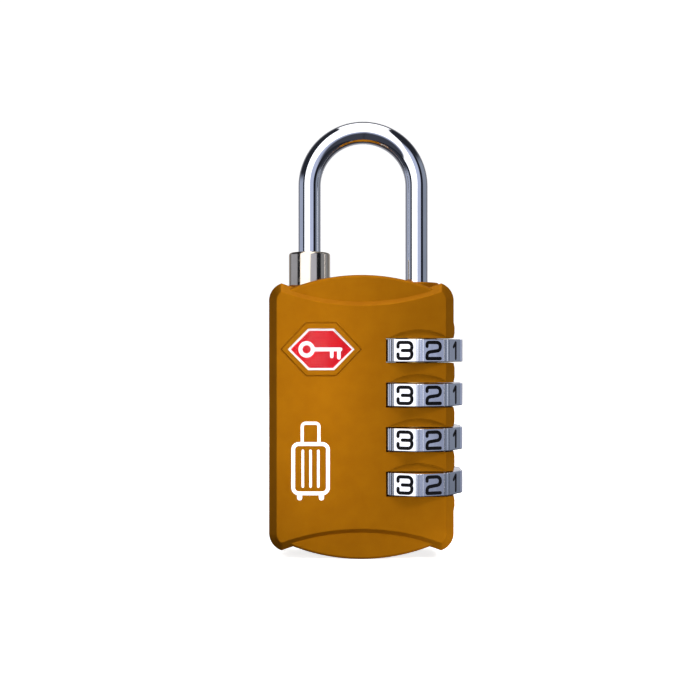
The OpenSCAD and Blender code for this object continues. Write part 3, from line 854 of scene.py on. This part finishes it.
def glyphs(name, low, high, z):
    """All ten digits around a dial, as solid strokes between two depths."""
    made = []
    for k in range(DIGITS):
        angle = math.radians(PANEL_DEG * (k - 0.5))
        digit = (3 - k) % DIGITS
        place = panel_place(angle, z)
        parts = []
        for points, radii, closed in glyph_strokes(digit):
            path = round_path(points, radii, closed, steps=7)
            parts.append(stroke(f"stroke_{digit}", path, STROKE_W, place, low, high, closed))
        glyph = parts[0]
        for part in parts[1:]:
            boolean(glyph, part, "UNION")
        made.append(glyph)
    both = join(made)
    both.name = name
    return both


def dial_radius(offset):
    """Radius at an angle in degrees from the middle of a panel: flat panel, groove, ribbed land."""
    land_edge = PANEL_DEG / 2 - math.degrees(0.465 * MM / RIB_R)
    groove_at, groove_half = land_edge - 0.65, 0.62
    a = abs(offset)
    if a > land_edge:
        centre_line = max(0, 1 - (abs(PANEL_DEG / 2 - a) / 0.5) ** 2)
        shoulder = min(1, (a - land_edge) / 0.45)
        return RIB_R - 0.05 * MM * centre_line - 0.05 * MM * (1 - shoulder) ** 2
    flat = PANEL_R / math.cos(math.radians(a))
    if a > groove_at - groove_half:
        t = (a - groove_at) / groove_half
        return flat - 0.12 * MM * math.sqrt(max(0, 1 - t * t))
    return flat


def dial_angles():
    """Where a sector is sampled: few angles over the panel, many around the rib."""
    return [-11.5 + 23 * k / 8 for k in range(9)] + [12.5 + 11 * k / 44 for k in range(44)]


def dial_blank(name, z):
    rim = 0.1 * MM
    half = DIAL_T / 2
    upper = [(half - 1.6 * rim, 0), (half - rim, 0), (half - 0.3 * rim, 0.3 * rim), (half, rim)]
    levels = [(-height, inset) for height, inset in reversed(upper)] + upper
    loops = []
    for height, inset in levels:
        loop = []
        for k in range(DIGITS):
            for local in dial_angles():
                offset = local if local <= PANEL_DEG / 2 else local - PANEL_DEG
                radius = dial_radius(offset) - inset
                angle = math.radians(PANEL_DEG * (k - 0.5) + local)
                loop.append((DIAL_X + radius * math.sin(angle), MID_Y - radius * math.cos(angle), z + height))
        loops.append(loop)
    count = len(loops[0])
    first = math.radians(dial_angles()[0] - PANEL_DEG / 2)
    turns = [2 * math.pi * k / count + first for k in range(count)]
    for height in (half, -half):
        loops.append([
            (DIAL_X + DIAL_BORE_R * math.sin(a), MID_Y - DIAL_BORE_R * math.cos(a), z + height) for a in turns
        ])
    return loft(name, loops, closed_ring=True)


def dials():
    z = DIAL_Z[0]
    wheel = dial_blank("dial_wheel_1", z)
    boolean(wheel, glyphs("engraving", -ENGRAVE, 0.4 * MM, z), own=True)
    soften(wheel, 0)
    ink = glyphs("dial_ink_1", -ENGRAVE - 0.02 * MM, -ENGRAVE + 0.11 * MM, z)
    shade(ink, 40)
    for n, at in zip(DIALS, DIAL_Z):
        shift = Matrix.Translation((0, 0, at - z))
        for source, name, look in ((wheel, "dial_wheel", "dial_chrome"), (ink, "dial_ink", "digit_ink")):
            piece = source
            if n > 1:
                piece = bpy.data.objects.new(f"{name}_{n}", source.data.copy())
                bpy.context.scene.collection.objects.link(piece)
                piece.data.transform(shift)
            replaced = [f"dial_{n}"] if name == "dial_wheel" else []
            finish_piece(piece, f"dial_{n}", look, *replaced)


# ---------------------------------------------------------------------------
# Shackle and collar
# ---------------------------------------------------------------------------
def shackle():
    toe_end = shackle_toe_end()
    toe_top = collar_hi.z - 0.15 * MM
    leg_end = shackle_lo.z
    tip = 0.4 * MM
    toe_r = 1.72 * MM
    # Stations along the rod: x, z, radius and how far the section has turned around the bow
    stations = [
        (KEY_X, toe_end, toe_r - tip, 0),
        (KEY_X, toe_end + 0.3 * tip, toe_r - 0.3 * tip, 0),
        (KEY_X, toe_end + tip, toe_r, 0),
        (KEY_X, toe_top - 0.05 * MM, toe_r, 0),
        (KEY_X, toe_top, ROD_R, 0),
    ]
    stations += [(KEY_X, toe_top + (BOW_Z - toe_top) * k / 6, ROD_R, 0) for k in range(1, 6)]
    steps = 72
    for k in range(steps + 1):
        a = math.pi * k / steps
        stations.append((BOW_X - BOW_R * math.cos(a), BOW_Z + BOW_R * math.sin(a), ROD_R, a))
    stations += [(DIAL_X, BOW_Z + (leg_end - BOW_Z) * k / 12, ROD_R, math.pi) for k in range(1, 12)]
    stations += [(DIAL_X, leg_end + tip, ROD_R, math.pi), (DIAL_X, leg_end, ROD_R - tip, math.pi)]
    loops = []
    sides = 64
    for x, z, r, turn in stations:
        # The cross-section's own axis points away from the bow's centre.
        ax, az = -math.cos(turn), math.sin(turn)
        loops.append([
            (x + r * math.cos(b) * ax, MID_Y + r * math.sin(b), z + r * math.cos(b) * az)
            for b in (2 * math.pi * k / sides for k in range(sides))
        ])
    rod = loft("shackle_rod", loops)
    teeth = []
    tooth_drop, tooth_h, tooth_half_w = 1.1 * MM, 0.9 * MM, 0.7 * MM
    tooth_root, tooth_reach = 0.5 * MM, 2.8 * MM
    for n, z in zip(DIALS, DIAL_Z):
        top = z - tooth_drop
        teeth.append(block(
            f"tooth_{n}", (DIAL_X - tooth_half_w, MID_Y - tooth_reach, top - tooth_h),
            (DIAL_X + tooth_half_w, MID_Y - tooth_root, top),
        ))
    boolean(rod, join(teeth), "UNION")
    shade(rod, 30)
    return finish_piece(rod, "shackle", "shackle_chrome", "shackle")


def shackle_toe_end():
    """Lowest point of the toe, which is the end of the shorter leg."""
    leg = [v.co.z for v in frame["nodes"]["shackle"].data.vertices if v.co.x < BOW_X]
    return min(leg)


def collar():
    lo, hi = collar_lo.z, collar_hi.z
    bore = 2.05 * MM
    floor = shackle_toe_end() - 0.3 * MM
    profile = round_path(
        [(0.02 * MM, lo), (COLLAR_R, lo), (COLLAR_R, hi), (bore, hi), (bore, floor), (0.02 * MM, floor)],
        [0, 0.2 * MM, 0.45 * MM, 0.12 * MM, 0.2 * MM, 0], closed=True, steps=7,
    )
    piece = shade(lathe("toe_collar", profile, KEY_X, MID_Y, 160), 30)
    return finish_piece(piece, "collar", "collar_nickel", "collar")


# ---------------------------------------------------------------------------
# Underside: key sleeve, key plug and spring plug
# ---------------------------------------------------------------------------
def underside():
    sleeve_lo, sleeve_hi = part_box("key_sleeve")
    outer, inner = (sleeve_hi.x - sleeve_lo.x) / 2, 3.05 * MM
    profile = round_path(
        [(inner, sleeve_lo.z), (outer, sleeve_lo.z), (outer, sleeve_hi.z), (inner, sleeve_hi.z)],
        0.12 * MM, closed=True, steps=4,
    )
    sleeve = shade(lathe("key_sleeve_ring", profile, KEY_X, MID_Y), 30)
    finish_piece(sleeve, "housing", "brass", "key_sleeve")

    plug_lo, plug_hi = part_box("spring_plug")
    radius = (plug_hi.x - plug_lo.x) / 2 - 0.02 * MM
    profile = round_path(
        [(0, plug_lo.z), (radius, plug_lo.z), (radius, plug_hi.z), (0, plug_hi.z)],
        [0, 0.2 * MM, 0.1 * MM, 0], closed=True, steps=4,
    )
    plug = lathe("spring_plug_screw", profile, DIAL_X, MID_Y)
    slot_half_l, slot_half_w, slot_depth = 2.4 * MM, 0.4 * MM, 0.7 * MM
    boolean(plug, block(
        "driver_slot", (DIAL_X - slot_half_l, MID_Y - slot_half_w, plug_lo.z - 1 * MM),
        (DIAL_X + slot_half_l, MID_Y + slot_half_w, plug_lo.z + slot_depth),
    ))
    soften(plug, 0.04 * MM)
    finish_piece(plug, "housing", "steel", "spring_plug")


def dress_cad_nodes():
    """Every CAD node keeps its shape and gets its slot's look."""
    slots = {s["node"]: s["material_slot"] for s in frame["record"]["subparts"]}
    for name, obj in frame["nodes"].items():
        obj.data.materials.clear()
        obj.data.materials.append(LOOKS[slots[name]])


# ---------------------------------------------------------------------------
# Stage: camera, floor, lights and surroundings
# ---------------------------------------------------------------------------
def camera():
    data = bpy.data.cameras.new("camera")
    data.sensor_width = 36
    data.lens = 52.66
    data.clip_start = 0.005
    data.clip_end = 10
    obj = bpy.data.objects.new("camera", data)
    bpy.context.scene.collection.objects.link(obj)
    obj.location = (-1.845 * MM, FACE_Y - 165 * MM, 10.85 * MM)
    obj.rotation_euler = (math.radians(90), 0, 0)
    bpy.context.scene.camera = obj


def floor():
    """Pale round sweep: a flat disc that curves up far behind the object on every side."""
    z, flat, bend, top = body_lo.z, 0.7, 0.35, 1.5
    profile = [(0.001, z), (0.1, z), (flat, z)]
    profile += [(flat + bend * math.sin(a), z + bend * (1 - math.cos(a)))
                for a in (math.pi / 2 * k / 10 for k in range(1, 11))]
    profile.append((flat + bend, top))
    turns = [2 * math.pi * k / 96 for k in range(96)]
    loops = [[(r * math.cos(a), r * math.sin(a), h) for a in turns] for r, h in profile]
    obj = shade(loft("floor", loops, cap_end=False))
    look = Look("floor_look")
    grain = look.noise(90, 4, 0.6)
    look.set(base_color=look.mix(grain, (0.9, 0.9, 0.9), (0.93, 0.93, 0.93)))
    look.set(roughness=look.remap(grain, 0.3, 0.7, 0.7, 0.8))
    look.set(specular_ior_level=0.1, emission_strength=0.8, emission_color=(1, 1, 1))
    obj.data.materials.append(look.mat)
    obj.visible_glossy = False
    obj.visible_diffuse = False
    obj.visible_transmission = False
    obj.visible_shadow = False


def area_light(name, at, aim, size, power):
    """Light for the paint only: the metal sees the surroundings instead."""
    data = bpy.data.lights.new(name, "AREA")
    data.shape = "RECTANGLE"
    data.size, data.size_y = size
    data.energy = power
    obj = bpy.data.objects.new(name, data)
    bpy.context.scene.collection.objects.link(obj)
    obj.location = at
    obj.rotation_euler = (Vector(aim) - Vector(at)).to_track_quat("-Z", "Y").to_euler()
    obj.visible_glossy = False
    obj.visible_camera = False


def lights():
    target = (0, MID_Y, 0)
    area_light("key", (0.24, -0.22, 0.24), target, (0.08, 0.08), 0.75)
    area_light("close_left", (-0.0078, -0.03, 0.002), (-0.0078, FACE_Y, 0.002), (0.004, 0.044), 0.0038)
    area_light("close_right", (0.026, -0.03, -0.03), (0.026, FACE_Y, -0.03), (0.004, 0.008), 0.0091)
    area_light("back_fill", (-0.2, 0.4, 0.3), target, (0.3, 0.3), 1.5)
    area_light("floor_wash", (0, 0.1, 0.9), (0, 0, 0), (1.2, 1.2), 5.0)


def surroundings():
    """Studio seen in the metal: a tall softbox that arches overhead and upright strips with dark gaps.

    The camera itself sees plain white, and diffuse surfaces see a faint even sky.
    """
    world = bpy.data.worlds.new("studio")
    bpy.context.scene.world = world
    world.use_nodes = True
    world.node_tree.nodes.clear()
    g = Graph(world.node_tree)
    parts = g.node("ShaderNodeSeparateXYZ")
    g.feed(parts.inputs[0], g.node("ShaderNodeTexCoord").outputs["Generated"])
    x, y, z = (parts.outputs[name] for name in "XYZ")
    azimuth = g.math("ARCTAN2", x, g.math("MULTIPLY", y, -1.0))

    # Upright strips: (azimuth in degrees from the camera's side, colour from there on)
    dark, slate, blue, grey = (0.012, 0.014, 0.02), (0.25, 0.28, 0.35), (0.36, 0.4, 0.52), (0.5, 0.55, 0.74)
    strips = [(-180, dark), (-122, blue), (-68, dark), (-50, grey), (42, dark), (68, slate), (122, dark)]
    ramp = g.node("ShaderNodeValToRGB")
    g.feed(ramp.inputs["Fac"], g.remap(azimuth, -math.pi, math.pi))
    elements = ramp.color_ramp.elements
    elements[0].position, elements[0].color = 0, (*dark, 1)
    elements[1].position, elements[1].color = 1, (*dark, 1)
    soft = 1.5
    for (_, before), (start, after) in zip(strips, strips[1:]):
        for offset, colour in ((-soft, before), (soft, after)):
            elements.new((start + offset + 180) / 360).color = (*colour, 1)
    left_top = g.step(z, 0.36, 0.2)
    right_top = g.step(z, 0.62, 0.46)
    tops = g.math("MAXIMUM", g.math("MULTIPLY", left_top, g.step(x, 0.05, -0.05)),
                  g.math("MULTIPLY", right_top, g.step(x, -0.05, 0.05)))
    upright = g.math("MULTIPLY", tops, g.remap(z, -0.3, -0.04, 0.06, 1.0, "SMOOTHSTEP"))
    room = g.mix(upright, (0.02, 0.022, 0.03), ramp.outputs["Color"])

    # Soft pool of light on the wall behind
    behind = g.math("POWER", g.remap(y, 0.4, 0.97), 1.6)
    room = g.mix(behind, room, (0.68, 0.68, 0.72))

    # Main softbox, from low on the left to overhead
    right_edge = g.remap(z, 0.15, 0.55, 0.105, 0.37)
    left_edge = g.math("MULTIPLY", g.math("MINIMUM", y, -0.27), 1.19)
    low_edge = g.math("ADD", g.math("MULTIPLY", g.math("MINIMUM", x, 0.0), 0.45), 0.02)
    box = g.step(g.math("SUBTRACT", right_edge, x), -0.02, 0.03)
    box = g.math("MULTIPLY", box, g.step(g.math("SUBTRACT", x, left_edge), -0.02, 0.03))
    box = g.math("MULTIPLY", box, g.step(g.math("SUBTRACT", z, low_edge), -0.05, 0.05))
    box = g.math("MULTIPLY", box, g.step(y, 0.42, 0.3))
    room = g.mix(box, room, (1.75, 1.75, 1.8))

    path = g.node("ShaderNodeLightPath")

    def background(colour, strength=1.0):
        node = g.node("ShaderNodeBackground")
        g.feed(node.inputs["Color"], colour)
        g.feed(node.inputs["Strength"], strength)
        return node.outputs[0]

    def choose(which, otherwise, then):
        node = g.node("ShaderNodeMixShader")
        g.feed(node.inputs["Fac"], path.outputs[which])
        g.feed(node.inputs[1], otherwise)
        g.feed(node.inputs[2], then)
        return node.outputs[0]

    seen = choose("Is Glossy Ray", background((0.9, 0.92, 1.0), 0.1), background(room))
    seen = choose("Is Camera Ray", seen, background((1.0, 1.0, 1.0)))
    g.feed(g.node("ShaderNodeOutputWorld").inputs["Surface"], seen)


camera()
front_cover()
back_cover()
middle_body()
leg_bushing()
badge()
luggage_print()
dials()
shackle()
collar()
underside()
dress_cad_nodes()
floor()
lights()
surroundings()
bpy.context.scene.view_settings.view_transform = "Standard"
